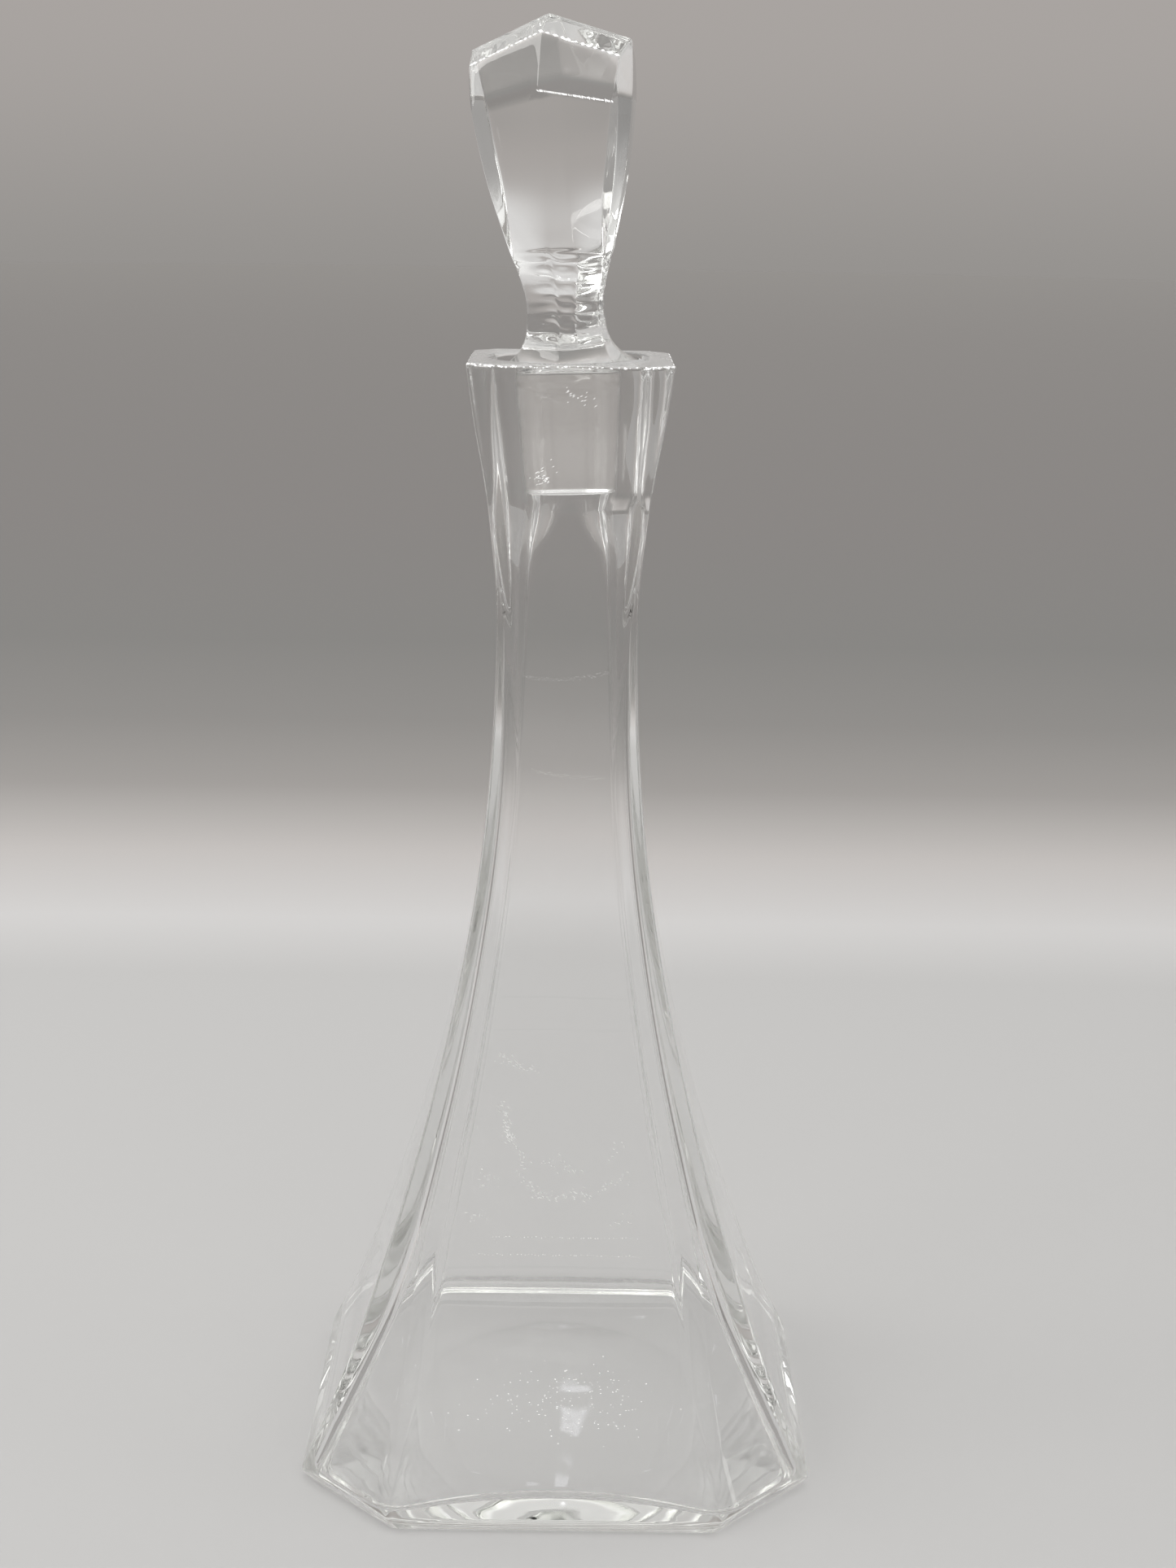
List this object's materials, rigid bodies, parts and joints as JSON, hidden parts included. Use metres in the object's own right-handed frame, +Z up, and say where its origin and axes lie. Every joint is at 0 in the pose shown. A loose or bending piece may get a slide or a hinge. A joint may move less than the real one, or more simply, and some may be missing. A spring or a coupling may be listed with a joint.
{
  "type": "glass decanter",
  "caption": "Tall clear glass decanter with a flared eight-sided foot, a faceted body with cut corners, and a solid faceted glass stopper that lifts out of its ground seat.",
  "frame": {"origin": "middle of the foot, on the surface that the bottle stands on", "axes": "+Z up along the bottle, +X to the right seen from the front, +Y away from the viewer"},
  "size_m": [0.11, 0.11, 0.3066],
  "materials": {
    "clear_glass": "fire-polished clear glass, faint grey-green tint, dried streaks inside",
    "stopper_glass": "polished clear glass with flat facets and small nicks on its edges"
  },
  "bodies": {
    "bottle": {"bottle": "clear_glass"},
    "stopper": {"stopper": "stopper_glass"}
  },
  "joints": [
    {"name": "stopper_lift", "type": "slide", "parent": "bottle", "child": "stopper", "axis": [-0.0349, 0, 0.9994], "range_m": [0, 0.04]}
  ]
}
